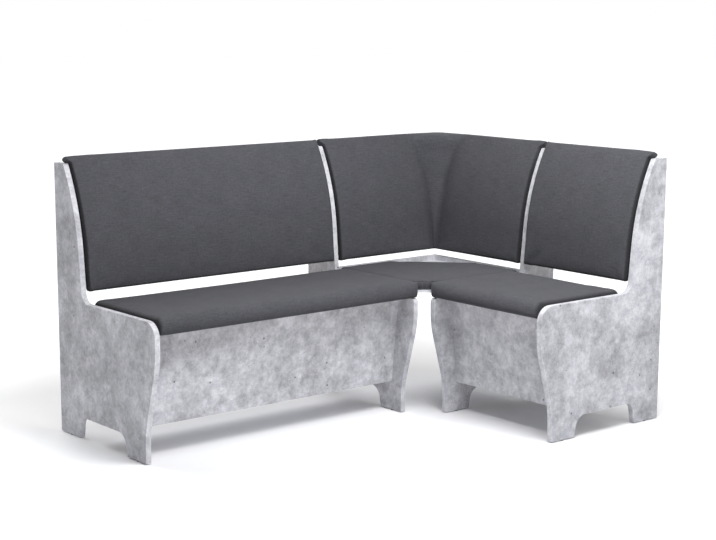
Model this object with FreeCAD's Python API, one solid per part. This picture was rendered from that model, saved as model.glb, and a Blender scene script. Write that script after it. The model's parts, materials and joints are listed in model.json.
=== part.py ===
import FreeCAD, Part
import math
import os

V = FreeCAD.Vector

# Millimetres. X runs along the long bench, Y runs towards its wall, Z is up.
# The origin is on the floor, under the middle of the bounding box.
# Each bench is drawn in a run frame: a = along the bench from its outer end,
# d = depth out from the wall behind it, z = height.

# overall sizes
long_side = 1655.0
short_side = 1103.0
height = 880.0
seat_depth = 573.5
seat_top = 458.0
corner_gap = 38.5
corner_extra = 18.0

# boards
board = 18.0
thin_board = 12.0
band = 2.0
batten = 20.0
glide_height = 3.0
glide_radius = 8.0

# outline of the side panels
top_flat = 52.0
top_radius = 8.0
upright_straight = 118.0
lean_top = 27.5
lean_low = 5.0
fillet_radius = 38.0
seat_over_panel = 11.6
outer_front_radius = 50.0
inner_front_radius = 12.0
lip_step_radius = 3.0
lip_step_gap = 1.0
knee_drop = 89.4
foot_set_back = 61.0
foot_length = 105.5
knee_radius = 290.0
ankle_radius = 385.0
sweep = 15.6
arch_rear = 118.0
arch_top = 73.0
arch_front_radius = 47.0
arch_rear_radius = 29.0
arch_draft = 10.0

# chest under each bench
front_panel_bottom = 103.0
front_panel_foot_set_back = 109.5
front_panel_top_set_back = 74.5
chest_floor = 115.0
rear_board_depth = 188.0
cleat_inset = 30.0

# seats
seat_foam = 20.0
seat_front_foam = 17.8
seat_rear = 188.5
seat_crown = 3.0
seat_lip_drop = 15.0
seat_front_round = 34.0
seat_lip_round = 12.0
seat_rear_round = 9.0
seat_end_drop = 5.0
seat_end_run = 22.0
seat_end_gap = 4.0
lip_wall = 3.3
seam = 2.0
seat_lift_gap = 0.3

# hinge under each seat
hinge_leaf = 1.2
hinge_leaf_width = 24.0
hinge_knuckle_radius = 3.5
hinge_pin_radius = 1.5
hinge_bore_gap = 0.05
hinge_end_inset = 45.0
hinge_knuckle_gap = 0.4
hinge_leaf_gap = 0.4
hinge_pitch = 70.0

# backs
pad_proud = 14.0
pad_thickness = 25.0
pad_edge_round = 11.0
pad_top_reach = 13.3
pad_end_gap = 2.0
pad_lift = 9.0
pad_end_draw = 5.0
pad_end_run = 24.0
ear_reach = 14.0
ear_gap = 0.4
back_board = 10.0
back_board_gap = 0.2
back_board_top_reach = 4.0
back_board_short_of_pad = 6.0
back_cleat_run = 80.0
back_cleat_start = 18.0
facet_middle_width = 70.0
facet_top_width = 165.0
facet_seat_in = 5.0

# corner seat
corner_board_rear = 132.0
corner_board_drop = 85.0
corner_board_below_pad = 3.0
corner_nose_set_back = 23.5
corner_pad_over = 5.0
corner_pad_gap = 8.0
corner_pad_chamfer = 225.0
corner_pad_side = 8.0
corner_pad_shoulder = 8.0
corner_pad_inset = 3.0
corner_pad_top_inset = 12.0
corner_lip_drop = 8.0
corner_cleat_inset = 50.0
bracket_leg = 35.0
bracket_width = 16.0
bracket_thickness = 2.0
bracket_end_inset = 15.0

far = 2000.0


def sin_deg(angle):
    return math.sin(math.radians(angle))


def cos_deg(angle):
    return math.cos(math.radians(angle))


def line(length):
    return ("line", length, 0.0)


def arc(radius, angle):
    return ("arc", radius, angle)


def turn(angle):
    return ("turn", 0.0, angle)


def walk(start, heading, moves, side=0.0):
    """Follow lines and tangent arcs in the (d, z) plane. Left turns are positive.
    side moves the whole path that far to the right of the way it goes."""
    d = start[0] + side * sin_deg(heading)
    z = start[1] - side * cos_deg(heading)
    pieces = []
    for kind, size, angle in moves:
        here = (d, z)
        if kind == "line" and size:
            d += size * cos_deg(heading)
            z += size * sin_deg(heading)
            pieces.append((here, (d, z)))
        elif kind == "arc":
            way = 1.0 if angle > 0 else -1.0
            radius = size + way * side
            centre = (d - way * radius * sin_deg(heading),
                      z + way * radius * cos_deg(heading))
            stops = []
            for part_turn in (angle / 2, angle):
                stops.append((centre[0] + way * radius * sin_deg(heading + part_turn),
                              centre[1] - way * radius * cos_deg(heading + part_turn)))
            pieces.append((here, stops[0], stops[1]))
            d, z = stops[1]
        heading += angle
    return pieces


def chain(points):
    return [(points[i], points[i + 1]) for i in range(len(points) - 1)]


def section_face(pieces, a, put=None):
    """A face across the run at a, from pieces in (d, z)."""
    put = put or (lambda p: V(a, -p[0], p[1]))
    edges = []
    for piece in pieces:
        spots = [put(p) for p in piece]
        if len(spots) == 2:
            edges.append(Part.LineSegment(spots[0], spots[1]).toShape())
        else:
            edges.append(Part.Arc(spots[0], spots[1], spots[2]).toShape())
    return Part.Face(Part.Wire(edges))


def slab(pieces, a0, a1):
    return section_face(pieces, a0).extrude(V(a1 - a0, 0, 0))


def plank(a0, a1, d0, d1, z0, z1):
    return Part.makeBox(a1 - a0, d1 - d0, z1 - z0, V(a0, -d1, z0))


def plate(corners, z0, z1):
    """A flat piece from corners in (a, d), between two heights."""
    spots = [V(a, -d, z0) for a, d in corners]
    return Part.Face(Part.makePolygon(spots + spots[:1])).extrude(V(0, 0, z1 - z0))


def place_long(shape):
    moved = shape.copy()
    moved.translate(V(-long_side / 2, short_side / 2, 0))
    return moved


def place_short(shape):
    moved = shape.mirror(V(0, 0, 0), V(1, -1, 0))
    moved.translate(V(long_side / 2, -short_side / 2, 0))
    return moved


nodes = {}


def keep(name, shape):
    solids = shape.Solids
    nodes[name] = solids[0] if len(solids) == 1 else Part.makeCompound(solids)


# side panels
seat_board_bottom = seat_top - seat_foam - board
seat_board_front = seat_depth - seat_front_foam
outer_seat_line = seat_top - seat_over_panel
inner_seat_line = seat_board_bottom - seat_lift_gap
foot_depth = seat_depth - foot_set_back
arch_front = foot_depth - foot_length
knee_top = outer_seat_line - knee_drop
corner_side = seat_depth + corner_gap
fillet_drop = fillet_radius * (1 - sin_deg(lean_low))
upright_top = (top_flat + top_radius * cos_deg(lean_top),
               height - top_radius * (1 - sin_deg(lean_top)))
upright_drop = (upright_top[1] - outer_seat_line - fillet_drop
                - upright_straight * cos_deg(lean_low))
upright_radius = upright_drop / (sin_deg(lean_top) - sin_deg(lean_low))
upright_out = upright_radius * (cos_deg(lean_low) - cos_deg(lean_top))


def front_path(seat_line, front_radius, lip_step):
    """The moves along the top and front of a side panel, from the top rear corner.
    The seat line goes down by lip_step near the front, for the lip of a seat pad."""
    straight = (upright_top[1] - upright_drop - seat_line - fillet_drop) / cos_deg(lean_low)
    seat_start = (upright_top[0] + upright_out + straight * sin_deg(lean_low)
                  + fillet_radius * cos_deg(lean_low))
    curves_in = (knee_radius + ankle_radius) * (1 - cos_deg(sweep))
    calf = (seat_depth - foot_depth - curves_in) / sin_deg(sweep)
    foot = (knee_top - (knee_radius + ankle_radius) * sin_deg(sweep)
            - calf * cos_deg(sweep) - glide_height)
    seat = [line(seat_depth - front_radius - seat_start)]
    if lip_step:
        step_depth = seat_board_front - lip_step_gap
        seat = [line(step_depth - lip_step_radius - seat_start), arc(lip_step_radius, -90),
                line(lip_step - 2 * lip_step_radius), arc(lip_step_radius, 90),
                line(seat_depth - front_radius - step_depth - lip_step_radius)]
    return ([line(top_flat), arc(top_radius, lean_top - 90),
             arc(upright_radius, lean_low - lean_top), line(straight),
             arc(fillet_radius, 90 - lean_low)] + seat
            + [arc(front_radius, -90), line(seat_line - lip_step - front_radius - knee_top),
               arc(knee_radius, -sweep), line(calf), arc(ankle_radius, sweep), line(foot)])


def arch_path():
    """The moves from the front foot round the arch to the rear foot."""
    rise = arch_top - glide_height
    front_straight = (rise - arch_front_radius * (1 - sin_deg(arch_draft))) / cos_deg(arch_draft)
    rear_straight = (rise - arch_rear_radius * (1 - sin_deg(arch_draft))) / cos_deg(arch_draft)
    curves = (arch_front_radius + arch_rear_radius) * cos_deg(arch_draft)
    slants = (front_straight + rear_straight) * sin_deg(arch_draft)
    return [line(front_straight), arc(arch_front_radius, 90 - arch_draft),
            line(arch_front - arch_rear - curves - slants),
            arc(arch_rear_radius, 90 - arch_draft), line(rear_straight)]


def side_panel(a0, seat_line, front_radius, lip_step):
    """The board of a side panel and the band glued round its top and front."""
    moves = front_path(seat_line, front_radius, lip_step)
    outside = walk((0, height), 0, moves)
    inside = walk((0, height), 0, moves, band)
    arch = walk((arch_front, glide_height), 90 + arch_draft, arch_path())
    core = (inside + chain([inside[-1][-1], arch[0][0]]) + arch
            + chain([arch[-1][-1], (0, glide_height), inside[0][0]]))
    back_again = [tuple(reversed(piece)) for piece in reversed(inside)]
    rim = (outside + chain([outside[-1][-1], inside[-1][-1]]) + back_again
           + chain([inside[0][0], outside[0][0]]))
    return slab(core, a0, a0 + board), slab(rim, a0, a0 + board)


# backs
def strip(front, thickness, top_reach, bottom_run, edge_round):
    """Section of a piece that follows the uprights, its face that far in front of them."""
    lean = (sin_deg(lean_top), cos_deg(lean_top))
    start = (upright_top[0] - top_reach * lean[0] + front * lean[1],
             upright_top[1] + top_reach * lean[1] + front * lean[0])
    bend = lean_low - lean_top
    across = thickness - 2 * edge_round
    end = [arc(edge_round, -90), line(across), arc(edge_round, -90)] if edge_round else \
          [turn(-90), line(across), turn(-90)]
    return walk(start, lean_top - 90,
                [line(top_reach), arc(upright_radius + front, bend), line(bottom_run)] + end
                + [line(bottom_run), arc(upright_radius + front - thickness, -bend), line(top_reach)]
                + end)


def drawn_in(full, small, a0, a1, run0, run1):
    """A soft bar whose ends are smaller than its middle."""
    wires = [section_face(small, a0).OuterWire, section_face(full, a0 + run0).OuterWire,
             section_face(full, a1 - run1).OuterWire, section_face(small, a1).OuterWire]
    return Part.makeLoft(wires, True, True)


pad_run = upright_straight - pad_lift
pad_full = strip(pad_proud, pad_thickness, pad_top_reach, pad_run, pad_edge_round)
pad_small = strip(pad_proud - pad_end_draw, pad_thickness - pad_end_draw, pad_top_reach,
                  pad_run, pad_edge_round - pad_end_draw / 2)
rear_of_pad = pad_proud - pad_thickness - back_board_gap
board_section = strip(rear_of_pad, back_board, back_board_top_reach,
                      pad_run - back_board_short_of_pad, 0)
above_uprights = plank(-far, far, -far, far, height + ear_gap, far)


def ear(a0, a1):
    return slab(pad_full, a0, a1).common(above_uprights)


def back_cleat(a0):
    """A straight batten on an upright, behind the lower part of a back board."""
    front = rear_of_pad - back_board
    start = (upright_top[0] + upright_out + front * cos_deg(lean_low)
             + back_cleat_start * sin_deg(lean_low),
             upright_top[1] - upright_drop + front * sin_deg(lean_low)
             - back_cleat_start * cos_deg(lean_low))
    return slab(walk(start, lean_low - 90,
                     [line(back_cleat_run), turn(-90), line(batten), turn(-90),
                      line(back_cleat_run), turn(-90), line(batten), turn(-90)]), a0, a0 + batten)


# seats
seat_lip_bottom = seat_board_bottom - seat_lip_drop


def seat_section(top, round_front, round_rear, draw):
    """Section of a seat pad: foam over the board, turned down over its front edge."""
    board_top = seat_board_bottom + board
    front = seat_depth - draw
    straight_front = top - seat_lip_bottom - round_front - seat_lip_round
    outside = walk((seat_rear, seat_board_bottom + lip_wall), 90,
                   [line(top - round_rear - seat_board_bottom - lip_wall), arc(round_rear, -90),
                    line(front - seat_rear - round_rear - round_front), arc(round_front, -90),
                    line(straight_front), arc(seat_lip_round, -90)])
    lip_inside = seat_board_front + seat_lift_gap
    rear_inside = seat_rear + lip_wall
    return outside + chain([outside[-1][-1], (lip_inside, seat_lip_bottom), (lip_inside, board_top),
                            (rear_inside, board_top),
                            (rear_inside, seat_board_bottom + lip_wall), outside[0][0]])


def seat_bar(a0, a1):
    full = seat_section(seat_top + seat_crown, seat_front_round, seat_rear_round, 0)
    small = seat_section(seat_top + seat_crown - seat_end_drop, seat_front_round - seat_end_drop / 2,
                         seat_rear_round, seat_end_drop / 2)
    return drawn_in(full, small, a0, a1, seat_end_run, seat_end_run)


# hinges
hinge_axis = rear_board_depth - hinge_knuckle_radius - hinge_leaf_gap
hinge_axis_height = seat_board_bottom - hinge_leaf - hinge_leaf_gap
leaf_start = rear_board_depth


def rod(radius, a0, a1):
    return Part.makeCylinder(radius, a1 - a0, V(a0, -hinge_axis, hinge_axis_height), V(1, 0, 0))


def hinge_leaf_shape(a0, a1, count, first, z0):
    """One leaf with every other knuckle, starting from the first or the second."""
    pitch = (a1 - a0) / count
    leaf = plank(a0, a1, leaf_start, leaf_start + hinge_leaf_width, z0, z0 + hinge_leaf)
    for k in range(first, count, 2):
        k0 = a0 + k * pitch + hinge_knuckle_gap / 2
        k1 = a0 + (k + 1) * pitch - hinge_knuckle_gap / 2
        leaf = leaf.fuse([rod(hinge_knuckle_radius, k0, k1),
                          plank(k0, k1, hinge_axis, leaf_start, z0, z0 + hinge_leaf)])
    return leaf.cut(rod(hinge_pin_radius + hinge_bore_gap, a0, a1)).removeSplitter()


# both benches, each in its own run frame
rear_board_top = seat_board_bottom - 2 * hinge_leaf - 2 * hinge_leaf_gap
front_panel_foot_depth = seat_depth - front_panel_foot_set_back
front_panel_top_depth = seat_depth - front_panel_top_set_back
corner_board_bottom = seat_board_bottom - corner_board_drop
corner_board_top = seat_top - corner_board_below_pad
corner_nose_depth = seat_depth - corner_nose_set_back
slope = (front_panel_top_depth - front_panel_foot_depth) / (rear_board_top - front_panel_bottom)
front_skew = board * math.sqrt(1 + slope * slope)
glide_spots = []
brackets = []

for name, side, corner, place in (("long", long_side, corner_side + corner_extra, place_long),
                                  ("short", short_side, corner_side, place_short)):
    inner = side - corner
    run = inner + board

    for kind, a0, seat_line, radius, lip_step in (
            ("outer", 0, outer_seat_line, outer_front_radius, 0),
            ("inner", inner, inner_seat_line, inner_front_radius,
             seat_lip_drop + lip_step_gap)):
        core, rim = side_panel(a0, seat_line, radius, lip_step)
        keep(kind + "_side_" + name, place(core))
        keep(kind + "_edge_band_" + name, place(rim))
        for depth in (arch_rear / 2, (arch_front + foot_depth) / 2):
            glide_spots.append(place(Part.makeCylinder(
                glide_radius, glide_height, V(a0 + board / 2, -depth, 0))))

    skew = chain([(front_panel_foot_depth, front_panel_bottom), (front_panel_top_depth, rear_board_top),
                  (front_panel_top_depth - front_skew, rear_board_top),
                  (front_panel_foot_depth - front_skew, front_panel_bottom),
                  (front_panel_foot_depth, front_panel_bottom)])
    keep("front_panel_" + name, place(slab(skew, board, inner)))
    keep("rear_board_" + name, place(plank(board, inner, rear_board_depth, rear_board_depth + board,
                                           front_panel_bottom, rear_board_top)))
    floor_front = (front_panel_foot_depth - front_skew
                   + slope * (chest_floor - front_panel_bottom))
    keep("chest_floor_" + name, place(plank(board, inner, rear_board_depth + board, floor_front,
                                            chest_floor, chest_floor + thin_board)))
    cleat_ends = (rear_board_depth + board + cleat_inset, floor_front - cleat_inset)
    for kind, a0 in (("outer", board), ("inner", inner - batten)):
        keep("floor_cleat_" + name + "_" + kind,
             place(plank(a0, a0 + batten, cleat_ends[0], cleat_ends[1],
                         chest_floor - batten, chest_floor)))

    seat_start, seat_end = board + seat_end_gap, run - seam / 2
    keep("seat_board_" + name,
         place(plank(seat_start + lip_wall, seat_end - lip_wall, seat_rear + lip_wall,
                     seat_board_front, seat_board_bottom, seat_board_bottom + board)))
    keep("seat_pad_" + name, place(seat_bar(seat_start, seat_end)))
    keep("seat_batten_" + name,
         place(plank(seat_start + lip_wall, inner - seat_end_gap, seat_board_front - batten,
                     seat_board_front, seat_lip_bottom + seam, seat_board_bottom)))

    hinge0, hinge1 = board + hinge_end_inset, inner - hinge_end_inset
    knuckles = 2 * int((hinge1 - hinge0) / hinge_pitch / 2) + 1
    keep("hinge_fixed_leaf_" + name,
         place(hinge_leaf_shape(hinge0, hinge1, knuckles, 0, rear_board_top)))
    keep("hinge_moving_leaf_" + name,
         place(hinge_leaf_shape(hinge0, hinge1, knuckles, 1, seat_board_bottom - hinge_leaf)))
    keep("hinge_pin_" + name, place(rod(hinge_pin_radius, hinge0, hinge1)))

    pad0, pad1 = board + pad_end_gap, inner - pad_end_gap
    pad = drawn_in(pad_full, pad_small, pad0, pad1, pad_end_run, pad_end_run)
    pad = pad.fuse(ear(board - ear_reach, pad0 + pad_end_run))
    keep("back_pad_" + name, place(pad.removeSplitter()))
    keep("back_board_" + name, place(slab(board_section, pad0, pad1)))
    for kind, a0 in (("outer", board), ("inner", inner - batten), ("corner", run)):
        keep("back_cleat_" + name + "_" + kind, place(back_cleat(a0)))

    # the corner element's halves
    rear_face = corner_board_rear + board
    board_end = side - (corner_board_rear if name == "long" else rear_face)
    keep("corner_rear_board_" + name,
         place(plank(run, board_end, corner_board_rear, rear_face, corner_board_bottom,
                     corner_board_top)))
    keep("corner_seat_cleat_" + name,
         place(plank(run, run + batten, rear_face + corner_cleat_inset,
                     corner_nose_depth - corner_cleat_inset, seat_board_bottom - batten,
                     seat_board_bottom)))
    half = plate([(side, 0), (side - far, 0), (side - far, far)], 0, far)
    keep("corner_back_board_" + name,
         place(slab(board_section, run + pad_end_gap, side).common(half)))
    for z0 in (corner_board_bottom + bracket_end_inset,
               corner_board_top - bracket_end_inset - bracket_width):
        legs = chain([(run, corner_board_rear), (run + bracket_leg, corner_board_rear),
                      (run + bracket_leg, corner_board_rear - bracket_thickness),
                      (run + bracket_thickness, corner_board_rear - bracket_thickness),
                      (run + bracket_thickness, corner_board_rear - bracket_leg),
                      (run, corner_board_rear - bracket_leg), (run, corner_board_rear)])
        brackets.append(place(plate([leg[0] for leg in legs], z0, z0 + bracket_width)))

nodes["glides"] = Part.makeCompound(glide_spots)
nodes["corner_brackets"] = Part.makeCompound(brackets)

# corner seat, in the long bench's run frame; it reaches further along the long bench
reach = corner_side - board
long_reach = reach + corner_extra
corner_nose = corner_nose_depth - corner_pad_over
corner_pad_rear = corner_board_rear + board + corner_pad_gap


def corner_outline(rear, cut, front, inset):
    """Corners in (a, d) of the corner seat: its room corner is cut off, its wall corner cut by cut."""
    low, nose = rear + inset, front - inset
    side_end, front_end = long_reach - inset, reach - inset
    wall = [(low + cut, low), (low, low + cut)] if cut else [(low, low)]
    outline = [(side_end, low)] + wall + [(low, front_end), (nose, front_end), (side_end, nose)]
    return [(long_side - x, y) for x, y in outline]


keep("corner_seat_board",
     place_long(plate(corner_outline(corner_board_rear + board, 0, corner_nose, 0),
                      seat_board_bottom, seat_board_bottom + board)))
pad_base = seat_board_bottom + board
levels = ((pad_base, seam / 2), (pad_base + corner_pad_side, seam / 2),
          (pad_base + corner_pad_side + corner_pad_shoulder, corner_pad_inset),
          (seat_top + seat_crown, corner_pad_top_inset))
rings = []
for z, inset in levels:
    spots = [V(a, -d, z) for a, d in
             corner_outline(corner_pad_rear, corner_pad_chamfer, corner_nose_depth, inset)]
    rings.append(Part.makePolygon(spots + spots[:1]))
corner_pad = Part.makeLoft(rings, True, True)
nose_out = corner_outline(corner_pad_rear, corner_pad_chamfer, corner_nose_depth, seam / 2)[-2:]
nose_in = corner_outline(corner_pad_rear, corner_pad_chamfer, corner_nose + seam / 2, 0)[-2:]
lip = plate([nose_out[0], nose_out[1], (nose_out[1][0], nose_in[1][1]),
             (nose_in[0][0], nose_out[0][1])], pad_base - corner_lip_drop, pad_base + corner_pad_side)
seat_under = plate(corner_outline(corner_board_rear, 0, corner_nose, 0), 0, seat_board_bottom + board)
keep("corner_seat_pad", place_long(corner_pad.fuse(lip.cut(seat_under)).removeSplitter()))

# corner back pad: two curved bars that meet in a mitre, and the facet over the mitre
half = plate([(long_side, 0), (long_side - far, 0), (long_side - far, far)], 0, far)


def corner_arm(length):
    """One arm as far as the mitre, with an ear over the side panel that it meets."""
    start = long_side - length
    arm = drawn_in(pad_full, pad_small, start + pad_end_gap, long_side + far,
                   pad_end_run, pad_end_run).common(half)
    return arm.fuse(ear(start - board - seam / 2, start + pad_end_gap + pad_end_run))


to_room = V(-1, -1, 0).normalize()
across = V(1, -1, 0).normalize()
corner_point = V(long_side, 0, 0)


def on_diagonal(spot):
    return corner_point + to_room * spot[0] + V(0, 0, spot[1]) - across * facet_top_width


# the bars' front line, from the top, and the facet's reach over it at three heights
bar_front = (pad_full[0][0], pad_full[1][1], pad_full[2][1])
face_line = [(d * math.sqrt(2) + width / math.sqrt(2), z) for (d, z), width in
             zip(bar_front, (facet_top_width, facet_middle_width, 0))]
brow = face_line[0]
rise = pad_edge_round * (1 - sin_deg(lean_top))
crest = (brow[0] - rise, brow[1] + rise)
crest_middle = (crest[0] + rise * cos_deg(45), brow[1] + rise * sin_deg(45))
facet_rear = bar_front[0][0] * math.sqrt(2) - facet_seat_in
facet_section = [tuple(face_line)] + chain([face_line[2], (facet_rear, face_line[2][1]),
                                            (facet_rear, crest[1]), crest])
facet_section.append((crest, crest_middle, brow))
facet = section_face(facet_section, 0, on_diagonal).extrude(across * (2 * facet_top_width))
in_front = slab(strip(facet_top_width, facet_top_width - pad_proud + facet_seat_in, pad_top_reach,
                      upright_straight, 0), long_side - long_reach, long_side + far)
mirror_at = V(long_side, 0, 0)
facet = facet.common(in_front).common(in_front.mirror(mirror_at, V(1, -1, 0)))
other_arm = corner_arm(reach).mirror(mirror_at, V(1, -1, 0))
keep("corner_back_pad", place_long(corner_arm(long_reach).fuse([other_arm, facet]).removeSplitter()))

os.makedirs("parts", exist_ok=True)
for name, shape in nodes.items():
    shape.exportStep("parts/" + name + ".step")
print(len(nodes), "nodes")
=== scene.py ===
# %% [markdown]
# # An upholstered corner bench: boards, pads and light
# The boards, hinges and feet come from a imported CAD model, so their shapes are
# settled before this lesson starts. Here they get their finishes, and the
# pads, the soft part of the bench, are cut, stuffed and laid on their boards.

# %% Load the bench
import json
import math

import bmesh
import bpy
from mathutils import Matrix, Vector


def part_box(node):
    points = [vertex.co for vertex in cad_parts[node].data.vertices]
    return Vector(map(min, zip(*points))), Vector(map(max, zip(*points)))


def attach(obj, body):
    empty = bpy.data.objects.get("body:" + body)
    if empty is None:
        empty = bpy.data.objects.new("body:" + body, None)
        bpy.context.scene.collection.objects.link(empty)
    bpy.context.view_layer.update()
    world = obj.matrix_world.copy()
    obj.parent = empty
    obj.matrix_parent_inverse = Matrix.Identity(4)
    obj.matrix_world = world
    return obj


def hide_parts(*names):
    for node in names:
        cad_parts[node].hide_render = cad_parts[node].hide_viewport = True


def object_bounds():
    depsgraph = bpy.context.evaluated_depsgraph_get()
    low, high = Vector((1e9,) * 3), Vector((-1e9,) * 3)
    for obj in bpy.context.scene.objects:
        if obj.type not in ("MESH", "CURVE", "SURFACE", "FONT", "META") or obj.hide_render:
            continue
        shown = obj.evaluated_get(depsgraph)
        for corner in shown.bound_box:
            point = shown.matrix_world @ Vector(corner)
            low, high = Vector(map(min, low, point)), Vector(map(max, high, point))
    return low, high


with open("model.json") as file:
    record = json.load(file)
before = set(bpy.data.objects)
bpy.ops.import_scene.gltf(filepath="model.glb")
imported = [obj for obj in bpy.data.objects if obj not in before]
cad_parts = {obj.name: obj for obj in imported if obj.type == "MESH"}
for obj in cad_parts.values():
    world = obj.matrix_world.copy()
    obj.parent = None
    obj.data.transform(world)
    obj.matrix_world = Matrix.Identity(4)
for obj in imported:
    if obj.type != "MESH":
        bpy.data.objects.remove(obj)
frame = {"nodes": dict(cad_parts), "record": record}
cad_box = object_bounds()
nodes = frame["nodes"]
bpy.ops.object.select_all(action="DESELECT")

# %% [markdown]
# ## The camera
# A product photograph like this one is taken with a long lens from the room
# side, a little above the backs, so that both benches show. A camera could be
# turned by eye until the picture looks right, but then every piece would be
# judged through a slightly wrong view. So its place, its turn and its lens were
# worked out from the bench's own corners. A small shift moves the picture on
# the sensor without tilting the camera.

# %% Camera
pitch, roll, yaw = 0.1822, 0.0007, 0.6729
focal_px, picture_px = 1600.38, 716
shift_px = (36, 30)
eye = Vector((-3.3253, -3.9481, 1.3712))
ahead = Vector((math.sin(yaw) * math.cos(pitch), math.cos(yaw) * math.cos(pitch), -math.sin(pitch)))
right = Vector((math.cos(yaw), -math.sin(yaw), 0))
up = right.cross(ahead)
turn = Matrix((right, up, -ahead)).transposed() @ Matrix.Rotation(roll, 3, "Z")
camera_data = bpy.data.cameras.new("camera")
camera_data.sensor_width = 36
camera_data.lens = focal_px * camera_data.sensor_width / picture_px
camera_data.shift_x = shift_px[0] / picture_px
camera_data.shift_y = shift_px[1] / picture_px
camera = bpy.data.objects.new("camera", camera_data)
camera.matrix_world = Matrix.Translation(eye) @ turn.to_4x4()
bpy.context.scene.collection.objects.link(camera)
bpy.context.scene.camera = camera
print("camera at", [round(x, 3) for x in eye], "with a lens of", round(camera_data.lens, 1))

# %% [markdown]
# ## A small kit for finishes
# Every finish here is a node tree: a few noises at the sizes that the real
# surface shows, mixed into its colour, its roughness and its bump. The nodes
# could be placed by hand in the shader editor, but written out they are read
# from top to bottom and used again with other numbers. The patterns read
# Object coordinates in metres, so a scale of 100 makes a grain of about a
# centimetre.

# %% Nodes
def new_finish(name):
    finish = bpy.data.materials.new(name)
    finish.use_nodes = True
    tree = finish.node_tree
    return finish, tree, tree.nodes["Principled BSDF"]


def add(tree, kind, inputs=(), **settings):
    """Adds a node. An input that is given a socket is linked, and any other is set."""
    node = tree.nodes.new(kind)
    for key, value in settings.items():
        setattr(node, key, value)
    for key, value in dict(inputs).items():
        if isinstance(value, bpy.types.NodeSocket):
            tree.links.new(value, node.inputs[key])
        else:
            node.inputs[key].default_value = value
    return node


def place_on(tree):
    """The place on a piece that a pattern is drawn at, in metres."""
    return add(tree, "ShaderNodeTexCoord").outputs["Object"]


def stretched(tree, where, scale):
    """The same place with each axis scaled. A small scale draws a pattern out along its axis."""
    return add(tree, "ShaderNodeMapping", {"Vector": where, "Scale": scale}).outputs["Vector"]


# %% Patterns and mixes
def noise(tree, where, scale, detail=4.0, rough=0.6, distortion=0.0):
    inputs = {"Vector": where, "Scale": scale, "Detail": detail,
              "Roughness": rough, "Distortion": distortion}
    return add(tree, "ShaderNodeTexNoise", inputs).outputs["Fac"]


def ramp(tree, source, stops):
    """Turns a pattern into colours. A stop is a place and a colour, and one number is a grey."""
    node = add(tree, "ShaderNodeValToRGB", {"Fac": source})
    band = node.color_ramp
    while len(band.elements) < len(stops):
        band.elements.new(0.5)
    for element, (place, colour) in zip(band.elements, stops):
        element.position = place
        element.color = (*colour, 1) if len(colour) == 3 else (*colour * 3, 1)
    return node.outputs["Color"]


def mixed(tree, kind, factor, a, b):
    """Mixes two colours. The node has sockets of one name for each type, so the type is asked too."""
    node = add(tree, "ShaderNodeMix", data_type="RGBA", blend_type=kind)
    for name, value in (("Factor", factor), ("A", a), ("B", b)):
        alike = [s for s in node.inputs if s.name == name]
        target = alike[0] if name == "Factor" else next(s for s in alike if s.type == "RGBA")
        if isinstance(value, bpy.types.NodeSocket):
            tree.links.new(value, target)
        else:
            target.default_value = value
    return next(s for s in node.outputs if s.type == "RGBA")


def drive(tree, shader, name, pattern, stops):
    """Lets a pattern drive one input of the shader, through a ramp."""
    tree.links.new(ramp(tree, pattern, stops), shader.inputs[name])


def bump(tree, shader, height, strength, distance):
    inputs = {"Height": height, "Strength": strength, "Distance": distance}
    tree.links.new(add(tree, "ShaderNodeBump", inputs).outputs["Normal"], shader.inputs["Normal"])


# %% [markdown]
# ## The concrete-look board
# The sides and fronts are chipboard faced with a paper printed like cast
# concrete. It has faint clouds a hand wide, blotches of a few centimetres, a
# finer mottle, weak upright streaks, small pale flecks, dark pores and a few
# round air holes. A picture of concrete could be laid over the boards, but it
# would need a file, and it would repeat or end in a seam. Here each kind of
# mark is one noise at its own size. The holes are the centres of a pattern of
# cells, and they are kept only where another noise is high. The edges are
# banded with the same paper in a paler print, so the recipe is written once and
# mixed twice.

# %% Concrete-look board and its edge band
def cool(value):
    """A grey that leans a little towards blue, as the print does."""
    return (value * 0.985, value * 0.99, value * 1.055)


def concrete(name, value, spread):
    finish, tree, shader = new_finish(name)
    where = place_on(tree)
    clouds = noise(tree, where, 5.0, 7, 0.62, 0.15)
    base = ramp(tree, clouds, ((0.38, cool(value - spread)), (0.62, cool(value + spread))))
    blotches = noise(tree, where, 26, 5, 0.66, 0.3)
    blotch_tones = ramp(tree, blotches, ((0.36, (0.25,)), (0.64, (0.75,))))
    blotched = mixed(tree, "OVERLAY", 0.42, base, blotch_tones)
    mottle = ramp(tree, noise(tree, where, 80, 7, 0.8), ((0.38, (0.25,)), (0.62, (0.75,))))
    mottled = mixed(tree, "OVERLAY", 0.24, blotched, mottle)
    drawn = stretched(tree, where, (1.0, 1.0, 0.08))
    streaks = ramp(tree, noise(tree, drawn, 60, 4, 0.6), ((0.35, (0.4,)), (0.65, (0.6,))))
    streaked = mixed(tree, "OVERLAY", 0.18, mottled, streaks)
    flecks = ramp(tree, noise(tree, where, 130, 3, 0.6), ((0.61, (0.0,)), (0.66, (0.3,))))
    flecked = mixed(tree, "SCREEN", 0.4, streaked, flecks)
    pores = ramp(tree, noise(tree, where, 170, 2, 0.5), ((0.32, (0.72,)), (0.36, (1.0,))))
    pored = mixed(tree, "MULTIPLY", 0.8, flecked, pores)
    cells = add(tree, "ShaderNodeTexVoronoi", {"Vector": where, "Scale": 26.0})
    holes = ramp(tree, cells.outputs["Distance"], ((0.06, (0.3,)), (0.12, (1.0,))))
    kept = ramp(tree, noise(tree, where, 22, 2), ((0.54, (0.0,)), (0.58, (1.0,))))
    pitted = mixed(tree, "MULTIPLY", kept, pored, holes)
    tree.links.new(pitted, shader.inputs["Base Color"])
    drive(tree, shader, "Roughness", blotches, ((0.2, (0.5,)), (0.8, (0.66,))))
    shader.inputs["Specular IOR Level"].default_value = 0.3
    bump(tree, shader, pitted, 0.12, 0.0006)
    return finish


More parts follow.
